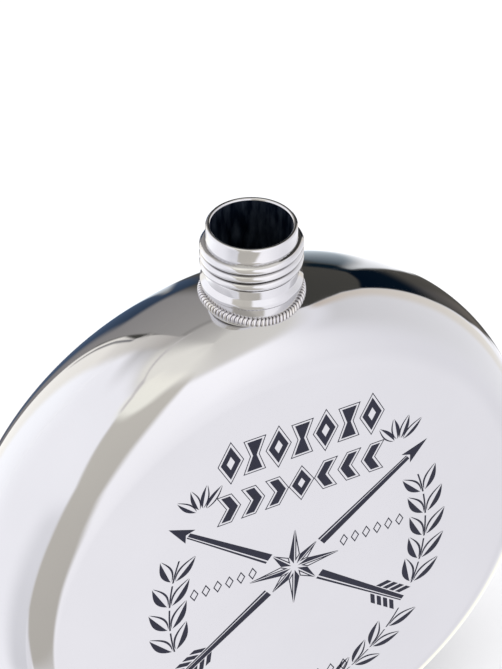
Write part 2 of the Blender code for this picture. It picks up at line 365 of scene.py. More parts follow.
def polished_steel():
    """Mirror-polished sheet: faint waves of the pressed metal, buffing haze and smudges."""
    material, nodes = new_metal("polished_steel")
    place = nodes.position()
    haze = nodes.noise(place, 60.0, detail=5.0)
    tone = nodes.ramp(haze, (0.3, (0.610, 0.610, 0.620)), (0.7, (0.630, 0.630, 0.640)))
    smudges = nodes.noise(place, 140.0, detail=8.0, roughness=0.62)
    nodes.feed(Base_Color=tone, Roughness=nodes.span(smudges, 0.035, 0.085, 0.35, 0.75))
    waves = nodes.bump(nodes.noise(place, 45.0, detail=1.0), 0.00025, 0.25)
    nodes.bump(nodes.noise(nodes.position((1.0, 1.0, 0.12)), 2600.0, detail=2.0),
               0.000002, 0.12, base=waves)
    return material


def seam_steel():
    """Weld metal between the half shells, ground flush and buffed along the rim."""
    material, nodes = new_metal("seam_steel")
    grain = nodes.noise(nodes.position((1.0, 6.0, 1.0)), 700.0)
    nodes.finish(grain, ((0.605, 0.605, 0.615), (0.635, 0.635, 0.64)), (0.05, 0.12),
                 (0.00001, 0.1))
    return material


def turned_steel():
    """Lathe-turned and polished steel with fine tool rings, painted shade in the thread's grooves
    and painted bluish shade inside the bore.
    """
    material, nodes = new_metal("turned_steel")
    rings = nodes.noise(nodes.position((0.02, 0.02, 1.0)), 6500.0)
    patches = nodes.noise(nodes.position(), 220.0, detail=4.0)
    streaks = nodes.noise(nodes.position((1.0, 1.0, 0.25)), 900.0, detail=5.0)
    outside = nodes.from_axis(BORE_RADIUS + 0.002, BORE_RADIUS + 0.012)
    shine = nodes.ramp(patches, (0.3, (0.60, 0.60, 0.615)), (0.7, (0.67, 0.665, 0.67)))
    # Painted shade: a near-black tone where the groove attribute marks the thread's grooves.
    groove_shade = nodes.ramp(patches, (0.3, (0.05, 0.045, 0.045)), (0.7, (0.14, 0.13, 0.12)))
    shine_with_groove_shade = nodes.mix(nodes.groove(), shine, groove_shade)
    # Painted shade: a dark bluish tone inside the bore, in place of the shade and blue haze seen
    # there.
    bore_shade = nodes.ramp(streaks, (0.40, (0.02, 0.035, 0.075)), (0.75, (0.17, 0.21, 0.27)))
    roughness = nodes.mix(outside, nodes.span(streaks, 0.38, 0.55),
                          nodes.span(rings, 0.05, 0.13), "FLOAT")
    nodes.feed(Base_Color=nodes.mix(outside, bore_shade, shine_with_groove_shade), Roughness=roughness)
    nodes.bump(rings, 0.000004, 0.45)
    return material


def weld_steel():
    """Bright weld metal with a trace of straw and violet heat tint, and painted shade in the gaps
    between the ripples.
    """
    material, nodes = new_metal("weld_steel")
    tint = nodes.noise(nodes.position(), 420.0)
    bright = nodes.ramp(tint, (0.25, (0.50, 0.49, 0.52)), (0.5, (0.64, 0.63, 0.64)),
                        (0.75, (0.69, 0.67, 0.63)))
    # Painted shade: a near-black tone where the groove attribute marks the gaps between the
    # ripples.
    scale = nodes.ramp(tint, (0.3, (0.06, 0.05, 0.06)), (0.7, (0.14, 0.12, 0.11)))
    grain = nodes.noise(nodes.position(), 2400.0, detail=5.0)
    nodes.feed(Base_Color=nodes.mix(nodes.groove(), bright, scale),
               Roughness=nodes.span(grain, 0.06, 0.18))
    nodes.bump(grain, 0.00002, 0.35)
    return material


def brushed_steel():
    """Satin steel brushed round the cap, with slightly brighter high spots."""
    material, nodes = new_metal("brushed_steel")
    lines = nodes.noise(nodes.position((0.05, 0.05, 1.0)), 5200.0, detail=4.0)
    nodes.finish(lines, ((0.60, 0.60, 0.61), (0.74, 0.74, 0.75)), (0.22, 0.38), (0.00001, 0.5))
    return material


def spun_steel():
    """Steel disc finished on a lathe: its lines are circles round the cap's axis."""
    material, nodes = new_metal("spun_steel")
    together = nodes.add("ShaderNodeCombineXYZ")
    metre = 1 / MM
    nodes.link(nodes.from_axis(0.0, metre, CAP_CENTRE_Y), together.inputs["X"])
    lines = nodes.noise(together.outputs["Vector"], 4200.0)
    nodes.finish(lines, ((0.56, 0.56, 0.57), (0.68, 0.68, 0.69)), (0.18, 0.34), (0.00001, 0.5))
    return material


def cap_plastic():
    """Black moulded insert with a fine eroded texture."""
    material, nodes = new_nodes("cap_plastic")
    grain = nodes.noise(nodes.position(), 3000.0)
    nodes.finish(grain, ((0.018, 0.018, 0.020), (0.034, 0.034, 0.038)), (0.38, 0.55),
                 (0.00002, 0.4))
    return material


def silicone():
    """Milky sealing ring."""
    material, nodes = new_nodes("silicone")
    nodes.set(Subsurface_Weight=0.25, Subsurface_Scale=0.001)
    cloud = nodes.noise(nodes.position(), 500.0)
    nodes.finish(cloud, ((0.70, 0.70, 0.68), (0.80, 0.80, 0.78)), (0.42, 0.58), (0.00002, 0.3))
    return material


def print_ink():
    """Navy screen-printed ink, a little uneven where it is thin."""
    material, nodes = new_nodes("print_ink")
    nodes.set(Specular_IOR_Level=0.22)
    film = nodes.noise(nodes.position(), 900.0, detail=6.0, roughness=0.7)
    nodes.finish(film, ((0.006, 0.007, 0.021), (0.014, 0.015, 0.038)), (0.32, 0.5),
                 (0.000004, 0.3), tone_end=0.75)
    return material


# -------- body

def rim_radius(y):
    """The body's radius at a distance y from its middle plane: a rim with an oval section."""
    share = min(1.0, abs(y) / FACE_Y)
    return BODY_RADIUS - RIM_DEPTH + RIM_DEPTH * math.sqrt(max(0.0, 1.0 - share * share))


def body_surface(x, y):
    """Height of the body's outer surface above the base, near the top of the rim."""
    return CENTRE_HEIGHT + math.sqrt(rim_radius(y) ** 2 - x * x)


def pressed(height, floor):
    """The height of a point after the base is pressed flat, with a soft edge."""
    above = height - floor
    if above >= PRESS_BLEND:
        return height
    if above <= -PRESS_BLEND:
        return floor
    return floor + (above + PRESS_BLEND) ** 2 / (4 * PRESS_BLEND)


def slice_outline(low, high):
    """(radius, y, normal) along the rim between two values of y; the flat face comes with
    its own rings where the slice reaches it."""
    first = math.asin(max(-1.0, low / FACE_Y))
    last = math.asin(min(1.0, high / FACE_Y))
    count = max(4, round(RIM_ROWS * (last - first) / (math.pi / 2)))
    outline = []
    for step in range(count + 1):
        angle = first + (last - first) * step / count
        normal = Vector((math.cos(angle) * FACE_Y, math.sin(angle) * RIM_DEPTH))
        normal.normalize()
        y = FACE_Y * math.sin(angle)
        outline.append((rim_radius(y), y, normal))
    flat_radii = [(BODY_RADIUS - RIM_DEPTH) * share for share in FLAT_RINGS]
    if high >= FACE_Y:
        outline += [(radius, FACE_Y, Vector((0, 1))) for radius in reversed(flat_radii)]
    if low <= -FACE_Y:
        outline = [(radius, -FACE_Y, Vector((0, -1))) for radius in flat_radii] + outline
    return outline


def body_sheet(outline, inset):
    """Points of a slice of the body, moved inwards by inset along the normals."""
    points = []
    for radius, y, normal in outline:
        reach = radius - inset * normal[0]
        depth = y - inset * normal[1]
        for column in range(BODY_COLUMNS):
            angle = TAU * column / BODY_COLUMNS
            height = CENTRE_HEIGHT + reach * math.cos(angle)
            points.append([reach * math.sin(angle), depth, pressed(height, inset)])
    return points


def true_normal(point):
    """The outward normal of the body's ideal surface at a point, or zero where the base
    is pressed, so that the mirror finish runs over the joints without a kink."""
    x, y, z = point
    rise = z - CENTRE_HEIGHT
    across = math.hypot(x, rise)
    beyond = across - (BODY_RADIUS - RIM_DEPTH)
    if z < 2 * PRESS_BLEND:
        return (0.0, 0.0, 0.0)
    if beyond <= 0:
        return (0.0, math.copysign(1.0, y), 0.0)
    outward = beyond / RIM_DEPTH ** 2
    normal = Vector((outward * x / across, y / FACE_Y ** 2, outward * rise / across))
    return tuple(normal.normalized())


def cut_neck_hole(points, faces):
    """Leave out the faces inside the neck hole at the top of the rim."""
    kept = []
    for face in faces:
        centre = np.mean([points[index] for index in face[:4]], axis=0)
        if len(face) > 4 or centre[2] < CENTRE_HEIGHT or math.hypot(*centre[:2]) > HOLE_RADIUS:
            kept.append(face)
    return kept


def boundary_edges(faces):
    """Directed edges that only one face has."""
    edges = set()
    for face in faces:
        for start, end in zip(face, face[1:] + face[:1]):
            if (end, start) in edges:
                edges.remove((end, start))
            else:
                edges.add((start, end))
    return sorted(edges)


def snap_hole_edge(sheet, edges):
    """Move the ragged edge that the cut leaves onto the hole's circle."""
    for start, _ in edges:
        x, y, z = sheet[start]
        across = math.hypot(x, y)
        if z > CENTRE_HEIGHT and across < HOLE_RADIUS + SNAP_REACH:
            scale = HOLE_RADIUS / across
            drop = z - body_surface(x, y)
            sheet[start] = [x * scale, y * scale, body_surface(x * scale, y * scale) + drop]


def body_slice(name, low, high):
    """A closed, thin-walled slice of the hollow body."""
    outline = slice_outline(low, high)
    outer = body_sheet(outline, 0.0)
    inner = body_sheet(outline, WALL)
    faces = grid_faces(len(outline), BODY_COLUMNS)
    if low <= -FACE_Y:
        faces.append(tuple(reversed(range(BODY_COLUMNS))))
    if high >= FACE_Y:
        start = (len(outline) - 1) * BODY_COLUMNS
        faces.append(tuple(range(start, start + BODY_COLUMNS)))
    faces = cut_neck_hole(outer, faces)
    edges = boundary_edges(faces)
    snap_hole_edge(outer, edges)
    snap_hole_edge(inner, edges)
    count = len(outer)
    inner_faces = [tuple(index + count for index in reversed(face)) for face in faces]
    walls = [(end, start, start + count, end + count) for start, end in edges]
    mesh = build_mesh(name, outer + inner, faces + inner_faces + walls)
    drop_loose_points(mesh)
    set_true_normals(mesh)
    return mesh


def set_true_normals(mesh):
    """Give the outer sheet of a body slice the ideal surface's normals."""
    normals = []
    for face in mesh.polygons:
        ideal = [true_normal(mesh.vertices[index].co / MM) for index in face.vertices]
        middle = Vector(np.mean(ideal, axis=0))
        outside = middle.length > 0.5 and middle.dot(face.normal) > 0.9
        normals += ideal if outside else [(0.0, 0.0, 0.0)] * len(ideal)
    mesh.normals_split_custom_set(normals)


def drop_loose_points(mesh):
    """Remove the points that the neck hole's faces have left behind."""
    shape = bmesh.new()
    shape.from_mesh(mesh)
    loose = [vertex for vertex in shape.verts if not vertex.link_faces]
    bmesh.ops.delete(shape, geom=loose, context="VERTS")
    shape.to_mesh(mesh)
    shape.free()


def make_body():
    steel, edge = polished_steel(), SEAM_HALF_WIDTH
    front = body_slice("front_face", -FACE_Y, -edge)
    new_piece("polished_front", front, steel, "flask", "polished_steel", "front_shell")
    back = body_slice("back_face", edge, FACE_Y)
    new_piece("polished_back", back, steel, "flask", "polished_steel", "back_shell")
    seam = body_slice("seam", -edge, edge)
    new_piece("flush_seam", seam, seam_steel(), "flask", "weld_steel", "rim_weld_seam")


# -------- neck

def smooth_share(value):
    """A value from 0 to 1 with its ends eased."""
    value = min(1.0, max(0.0, value))
    return value * value * (3 - 2 * value)


def rolled_ridge(offset):
    """Height share of a full, rounded ridge, from its middle at 0 to the groove at 0.5."""
    return max(0.0, 1.0 - (2 * abs(offset)) ** 2.6) ** 0.7


def nearest_ridge(height, angle, start, turns):
    """The ridge passing nearest to a place on a thread: how far it has risen out of the wall
    there, from 0 to 1, and how far the place is above its middle, in pitches."""
    share = angle / TAU
    turn = share + round((height - start) / PITCH - share)
    lift = smooth_share(min(turn, turns - turn) / THREAD_FADE + 0.5)
    return lift, (height - start) / PITCH - turn


def neck_radius(radius, height, angle):
    """The neck's outer radius with the thread's ridges added."""
    if not math.isclose(radius, THREAD_ROOT, abs_tol=1e-6):
        return radius
    lift, offset = nearest_ridge(height, angle, THREAD_START, THREAD_TURNS)
    return radius + (THREAD_CREST - THREAD_ROOT) * lift * rolled_ridge(offset)


def neck_groove(x, y, z):
    """1 in the thread's grooves, where the material paints shade, and 0 on the ridges."""
    on_thread = THREAD_ROOT - 0.01 < math.hypot(x, y) and THREAD_START < z
    lift, offset = nearest_ridge(z, math.atan2(y, x) % TAU, THREAD_START, THREAD_TURNS)
    above_thread = offset > 0 and z > THREAD_START + (THREAD_TURNS - 1) * PITCH
    if not on_thread:
        return 0.0
    limit, depth = (0.40, 0.6) if above_thread else (0.80, 1.0)
    return lift * depth * smooth_share((limit - rolled_ridge(offset)) / 0.5)


def spout_outline():
    """The neck's cross-section as (radius, height), with a full round lip."""
    undercut_top, undercut_foot = UNDERCUT_DEPTHS
    flange_top, flange_foot = FLANGE_DEPTHS
    ridges_top = THREAD_TOP - PITCH / 2
    corners = [
        (COLLAR_RADIUS, NECK_DEPTH),
        (COLLAR_RADIUS, flange_foot + 0.2),
        (FLANGE_RADIUS, flange_foot),
        (FLANGE_RADIUS, flange_top),
        (UNDERCUT_RADIUS + 0.12, undercut_foot + 0.12),
        (UNDERCUT_RADIUS, undercut_foot),
        (UNDERCUT_RADIUS, undercut_top),
        (THREAD_ROOT, undercut_top - 0.1),
        (THREAD_ROOT, ridges_top),
        (LIP_RADIUS, ridges_top - 0.1),
    ]
    middle, bend = (LIP_RADIUS + BORE_RADIUS) / 2, (LIP_RADIUS - BORE_RADIUS) / 2
    arc_steps = 16
    soft = rounded(corners, 0.12, steps=4, closed=False)
    for step in range(arc_steps + 1):
        angle = math.pi * step / arc_steps
        soft.append((middle + bend * math.cos(angle), bend * (1 - math.sin(angle))))
    soft.append((BORE_RADIUS, NECK_DEPTH))
    outline = [(radius, LIP_HEIGHT - depth) for radius, depth in soft]
    return densified(outline, 0.025, THREAD_START, LIP_HEIGHT - ridges_top)


def make_neck():
    mesh = turned_mesh("neck", spout_outline(), NECK_COLUMNS, radius_at=neck_radius)
    mark_grooves(mesh, neck_groove)
    new_piece("threaded_neck", mesh, turned_steel(), "flask", "turned_steel", "neck_spout")


def bead_ripple(angle, around):
    """How high the weld's ripples stand, from 0 in a gap to 1; they curve back at the sides
    and aren't quite evenly spaced."""
    wander = 0.5 * math.sin(5 * angle + 1.0) + 0.3 * math.sin(11 * angle)
    return abs(math.sin(BEAD_RIPPLES * angle / 2 + wander + BEAD_CRESCENT * math.cos(around)))


def bead_groove(x, y, z):
    """1 in the gaps between the weld's ripples, where the material paints shade, and 0 on their
    crests.
    """
    rise = (z - body_surface(x, y) - BEAD_FOOT) / BEAD_RISE
    around = math.atan2(rise, (math.hypot(x, y) - BEAD_MIDDLE) / BEAD_HALF_WIDTH)
    return smooth_share((0.55 - bead_ripple(math.atan2(y, x), around)) / 0.45)


def make_weld_bead():
    """A bead on the saddle line where the neck meets the body, with overlapping ripples."""
    columns, rows = BEAD_RIPPLES * RIPPLE_COLUMNS, BEAD_ROWS
    points = []
    for row in range(rows):
        around = TAU * row / rows
        for column in range(columns):
            angle = TAU * column / columns
            swell = 1.0 - BEAD_RIPPLE_DEPTH * (1.0 - bead_ripple(angle, around) ** 0.7)
            reach = BEAD_MIDDLE + BEAD_HALF_WIDTH * swell * math.cos(around)
            x, y = reach * math.cos(angle), reach * math.sin(angle)
            rise = BEAD_FOOT + BEAD_RISE * swell * math.sin(around)
            points.append((x, y, body_surface(x, y) + rise))
    mesh = build_mesh("bead", points, grid_faces(rows, columns, closed_rows=True), 80.0)
    mark_grooves(mesh, bead_groove)
    new_piece("rippled_weld", mesh, weld_steel(), "flask", "weld_steel", "neck_weld_bead")


# -------- print

# A made-up emblem: two friezes, crossed arrows behind a compass star, and two leafy sprigs.
# Places are (x, z) in millimetres on the front face.
EMBLEM_X = 1.5
UPPER_FRIEZE_Z = 72.6
UPPER_FRIEZE_STEP = 3.87
LOWER_FRIEZE_Z = 64.0
LOWER_FRIEZE_STEP = 3.95
SIDE_ROWS_Z = 49.2
SIDE_ROW_STARTS = {1: 9.0, -1: -6.6}
SIDE_ROW_STEP = 1.95
BOTTOM_ROW_Z = 22.0
BOTTOM_ROW_STEP = 2.3
STAR = Vector((0.5, 47.4))
STAR_REACHES = (5.2, 7.6)      # of its points, by turns
STAR_SHOULDER = 2.3            # where a point is widest, from the star's middle
STAR_HALF_WIDTH = 0.92
ARROW_TIPS = (Vector((22.9, 63.9)), Vector((-20.2, 64.0)))
ARROW_START = 5.6              # from the star's middle
ARROW_TAIL = 25.0
SPRIG_Z = 46.0
SPRIG_RADII = (22.0, 28.0)
SPRIG_PAIRS = 12               # of leaves
SPRIG_SPAN = (-74, 34)
LEAF_SPLAY = 31
LEAF_SIZE = (5.2, 0.98)        # length and half-width
CROWN_ANGLE = 42
CROWN_LEANS = (44, 72, 100, 128)
CROWN_LEAF_SIZE = (4.2, 0.62)


def offset_loop(loop, distance):
    """The loop moved outwards by distance, with mitred corners; loops run anticlockwise."""
    moved = []
    count = len(loop)
    for index, corner in enumerate(loop):
        here = Vector(corner)
        into = (here - Vector(loop[index - 1])).normalized()
        out = (Vector(loop[(index + 1) % count]) - here).normalized()
        first, second = Vector((into.y, -into.x)), Vector((out.y, -out.x))
        moved.append(tuple(here + (first + second) * distance / (1 + first.dot(second))))
    return moved


def outlined(loop, gap=0.32, width=0.13):
    """A solid shape and a thin line that follows it at a distance."""
    return [(loop, None), (offset_loop(loop, gap + width), offset_loop(loop, gap))]


def lozenge(x, z, half_width, half_height):
    return [(x - half_width, z), (x, z - half_height), (x + half_width, z),
            (x, z + half_height)]


def hourglass(x, z, half_width, half_height):
    waist = half_width * 0.24
    return [(x - half_width, z - half_height), (x + half_width, z - half_height),
            (x + waist, z), (x + half_width, z + half_height),
            (x - half_width, z + half_height), (x - waist, z)]


def chevron(x, z, half_width, half_height, facing):
    arm = half_width * 1.05
    points = [(-half_width, -half_height), (-half_width + arm, -half_height),
              (half_width, 0), (-half_width + arm, half_height),
              (-half_width, half_height), (half_width - arm, 0)]
    if facing < 0:
        points = [(-px, pz) for px, pz in reversed(points)]
    return [(x + px, z + pz) for px, pz in points]


def framed_lozenge(x, z, half_height):
    """A thick hollow lozenge inside a thin outline."""
    band = lozenge(x, z, 1.62, half_height)
    return [(band, offset_loop(band, -0.85)), (offset_loop(band, 0.45), offset_loop(band, 0.32))]


def small_lozenge(x, z):
    outer = lozenge(x, z, 0.72, 1.25)
    return [(outer, offset_loop(outer, -0.17))]


def frieze_shapes():
    """Two bold friezes over the star, and rows of small lozenges beside and below it."""
    shapes = []
    for index in range(7):
        x = EMBLEM_X + UPPER_FRIEZE_STEP * (index - 3)
        if index % 2:
            shapes += outlined(hourglass(x, UPPER_FRIEZE_Z, 1.22, 2.75))
        else:
            shapes += framed_lozenge(x, UPPER_FRIEZE_Z, 3.1)
        x = EMBLEM_X + LOWER_FRIEZE_STEP * (index - 3)
        if index == 3:
            shapes += framed_lozenge(x, LOWER_FRIEZE_Z, 2.6)
        else:
            facing = 1 if index < 3 else -1
            shapes += outlined(chevron(x, LOWER_FRIEZE_Z, 1.35, 2.35, facing))
    shapes += [(lozenge(EMBLEM_X, BOTTOM_ROW_Z, 1.6, 2.4), None)]
    for side, start in SIDE_ROW_STARTS.items():
        for index in range(6):
            shapes += small_lozenge(start + side * SIDE_ROW_STEP * index, SIDE_ROWS_Z)
        for index in range(1, 4):
            reach = 1.2 + BOTTOM_ROW_STEP * index
            shapes += small_lozenge(EMBLEM_X + side * reach, BOTTOM_ROW_Z)
    return shapes


def along_line(start, along, corners):
    """Corners given as (distance along, distance aside) on a line from start."""
    beside = Vector((-along.y, along.x))
    return [tuple(start + along * run + beside * aside) for run, aside in corners]


def star_shapes():
    """An eight-pointed compass star: one half of each point is solid, the other a line."""
    shapes = []
    for index in range(8):
        reach = STAR_REACHES[index % 2]
        angle = TAU * index / 8 + TAU / 8
        along = Vector((math.cos(angle), math.sin(angle)))
        solid = [(STAR_SHOULDER * 0.30, 0.08), (reach, 0.04), (STAR_SHOULDER, STAR_HALF_WIDTH)]
        hollow = [(STAR_SHOULDER * 0.50, -0.15), (STAR_SHOULDER, -STAR_HALF_WIDTH),
                  (reach, -0.10)]
        shapes.append((along_line(STAR, along, solid), None))
        outer = along_line(STAR, along, hollow)
        shapes.append((outer, offset_loop(outer, -0.17)))
    return shapes


def arrow_shapes():
    """Two long arrows that cross behind the star, thicker towards it."""
    shapes = []
    for tip in ARROW_TIPS:
        along = (tip - STAR).normalized()
        reach = (tip - STAR).length
        loops = [[(reach, 0), (reach - 4.4, 1.3), (reach - 3.5, 0), (reach - 4.4, -1.3)]]
        for near, far in ((ARROW_START, reach - 4.0), (-ARROW_START, -ARROW_TAIL)):
            for low, high in ((-0.95, 0.25), (0.50, 0.85)):
                bar = [(near, low), (far, low * 0.55), (far, high * 0.55), (near, high)]
                loops.append(bar if far > near else bar[::-1])
        for step in range(4):
            back = -ARROW_TAIL + 1.5 * step
            vane = [(back, 2.3), (back + 1.0, 2.3), (back + 2.4, 0.8), (back + 1.4, 0.8)]
            loops += [vane[::-1], [(run, -aside) for run, aside in vane]]
        shapes += [(along_line(STAR, along, loop), None) for loop in loops]
    return shapes


def clear_of_arrows(loop, distance=1.35):
    """Whether every corner of a loop stays this far from the arrows' shafts."""
    for tip in ARROW_TIPS:
        along = (tip - STAR).normalized()
        beside = Vector((-along.y, along.x))
        for corner in loop:
            place = Vector(corner) - STAR
            within = -ARROW_TAIL - 2 < place.dot(along) < (tip - STAR).length + 1.5
            if within and abs(place.dot(beside)) < distance:
                return False
    return True


def leaf_shapes(base, along, length, half_width, solid_side):
    """A pointed leaf: one half is solid and the other half only an edge line."""
    steps = 12
    bulges = [(length * step / steps, half_width * math.sin(math.pi * (step / steps) ** 0.85))
              for step in range(steps + 1)]
    back = bulges[-2:0:-1]
    solid = [(run, solid_side * (bulge + 0.06)) for run, bulge in bulges]
    solid += [(run, solid_side * 0.10) for run, _ in back]
    edge = [(run, -solid_side * (bulge + 0.10)) for run, bulge in bulges]
    edge += [(run, -solid_side * (bulge * 0.72 + 0.04)) for run, bulge in back]
    return [(along_line(base, along, loop), None) for loop in (solid, edge)]


def sprig_point(angle, side):
    """A place on the oval that the stem of the sprig on one side follows."""
    return Vector((EMBLEM_X + side * SPRIG_RADII[0] * math.cos(angle),
                   SPRIG_Z + SPRIG_RADII[1] * math.sin(angle)))


def sprig_shapes(side):
    """One curved sprig, from the bottom of the emblem up beside the friezes."""
    shapes = []
    first, last = (math.radians(angle) for angle in SPRIG_SPAN)
    step = (last - first) / (SPRIG_PAIRS - 1)
    half_stem = Vector((0.13, 0))
    for index in range(SPRIG_PAIRS):
        angle = first + step * index
        base = sprig_point(angle, side)
        along = (sprig_point(angle + 0.02, side) - base).normalized()
        size = 0.82 + 0.22 * math.sin(math.pi * index / (SPRIG_PAIRS - 1))
        length, half_width = (value * size for value in LEAF_SIZE)
        for splay in (-1, 1):
            turned = Vector(along)
            turned.rotate(Matrix.Rotation(splay * math.radians(LEAF_SPLAY), 2))
            shapes += leaf_shapes(base + turned * 0.7, turned, length, half_width, splay)
        stem = [sprig_point(angle + step * share, side) for share in (0.06, 0.35, 0.65, 0.94)]
        stem_line = [tuple(point + half_stem) for point in stem]
        stem_line += [tuple(point - half_stem) for point in reversed(stem)]
        if index < SPRIG_PAIRS - 1:
            shapes.append((stem_line, None))
    crown = sprig_point(math.radians(CROWN_ANGLE), side)
    for lean in CROWN_LEANS:
        along = Vector((side * math.cos(math.radians(lean)), math.sin(math.radians(lean))))
        shapes += leaf_shapes(crown + along * 1.2, along, *CROWN_LEAF_SIZE, -side)
    return [shape for shape in shapes if clear_of_arrows(shape[0])]


def ink_mesh(name, shapes):
    """Thin printed shapes on the front face: filled loops, and bands between two loops."""
    points, faces = [], []
    top, foot = -FACE_Y - INK_THICKNESS, -FACE_Y + 0.002
    for outer, inner in shapes:
        start, count = len(points), len(outer)
        for loop in (outer, inner) if inner else (outer,):
            points += [(x, top, z) for x, z in loop]
            points += [(x, foot, z) for x, z in loop]
        ring = [tuple(range(start + count * layer, start + count * (layer + 1)))
                for layer in range(4 if inner else 2)]
        pairs = [(0, 1), (2, 3), (0, 2), (1, 3)] if inner else [(0, 1)]
        for first, second in pairs:
            for index in range(count):
                after = (index + 1) % count
                faces.append((ring[first][index], ring[first][after],
                              ring[second][after], ring[second][index]))
        if not inner:
            faces += ring
    return build_mesh(name, points, faces)


def make_print():
    ink = print_ink()
    layers = {
        "printed_friezes": frieze_shapes(),
        "printed_star": star_shapes() + arrow_shapes(),
        "printed_sprigs": sprig_shapes(-1) + sprig_shapes(1),
    }
    for name, shapes in layers.items():
        new_piece(name, ink_mesh(name, shapes), ink, "flask", "print_ink")


# -------- cap

def upside_down(x, y, height):
    """Where a point of the cap is while the cap stands on its top behind the flask."""
    return x, CAP_CENTRE_Y - y, CAP_HEIGHT - height


def fluted(radius, height, angle):
    """The cap's side with rounded upright flutes between two plain bands."""
    if radius < CAP_RADIUS - 0.01:
        return radius
    low, high = FLUTE_ENDS
    fade = smooth_share(min(height - low, high - height) / 0.5)
    return radius - FLUTE_DEPTH * fade * (0.5 - 0.5 * math.cos(FLUTES * angle))


def liner_radius(radius, height, angle):
    """The insert's bore with its thread's ridges, in mesh with the neck's when closed."""
    if not math.isclose(radius, LINER_BORE, abs_tol=1e-6):
        return radius
    closed_mouth = LIP_HEIGHT - CLOSED_MOUTH_DEPTH
    phase = THREAD_START - closed_mouth + PITCH / 2
    start = LOWEST_CAP_RIDGE + (phase - LOWEST_CAP_RIDGE) % PITCH
    lift, offset = nearest_ridge(height, angle, start, CAP_THREAD_TURNS)
    return radius - CAP_RIDGE_HEIGHT * lift * smooth_share((0.20 - abs(offset)) / 0.16)


def make_cap_shell():
    corners = [
        (RECESS_RADIUS, RECESS_FLOOR), (RECESS_RADIUS, CAP_HEIGHT), (CAP_RADIUS, CAP_HEIGHT),
        (CAP_RADIUS, 0.0), (CAP_INNER_RADIUS, 0.0), (CAP_INNER_RADIUS, CAP_CEILING),
    ]
    outline = densified(rounded(corners, 0.28, closed=False), 0.12, 0.2, CAP_HEIGHT - 0.2)
    shell = turned_mesh("shell", outline, FLUTES * FLUTE_COLUMNS, False, fluted, upside_down)
    new_piece("fluted_cap", shell, brushed_steel(), "cap", "brushed_steel", "cap_shell")


def make_cap_disc():
    low, high = DISC_HEIGHTS
    middle, chamfer_across, chamfer_down = 0.4, 0.7, 0.15
    corners = [
        (middle, low), (DISC_RADIUS, low), (DISC_RADIUS, high - chamfer_down),
        (DISC_RADIUS - chamfer_across, high), (middle, high),
    ]
    outline = rounded(corners, 0.12, closed=False)
    disc = turned_mesh("disc", outline, RING_COLUMNS, closed=False, place=upside_down)
    new_piece("spun_disc", disc, spun_steel(), "cap_top", "brushed_steel", "cap_top_disc")


def make_cap_liner():
    mouth, top = LINER_HEIGHTS
    corners = [
        (LINER_RADIUS, top), (LINER_RADIUS, mouth), (LINER_BORE, mouth),
        (LINER_BORE, LINER_CEILING),
    ]
    outline = densified(rounded(corners, 0.15, closed=False), 0.05, 0.5, 10.0)
    liner = turned_mesh("liner", outline, LINER_COLUMNS, False, liner_radius, upside_down)
    new_piece("threaded_insert", liner, cap_plastic(), "cap", "cap_plastic", "cap_liner")


def make_sealing_ring():
    inner, outer = RING_RADII
    corners = [(inner, 0.0), (outer, 0.0), (outer, RING_THICKNESS), (inner, RING_THICKNESS)]
    ring = turned_mesh("ring", rounded(corners, 0.35, steps=6), RING_COLUMNS,
                       place=upside_down)
    new_piece("sealing_ring", ring, silicone(), "cap_seal", "silicone", "cap_gasket")


# -------- studio

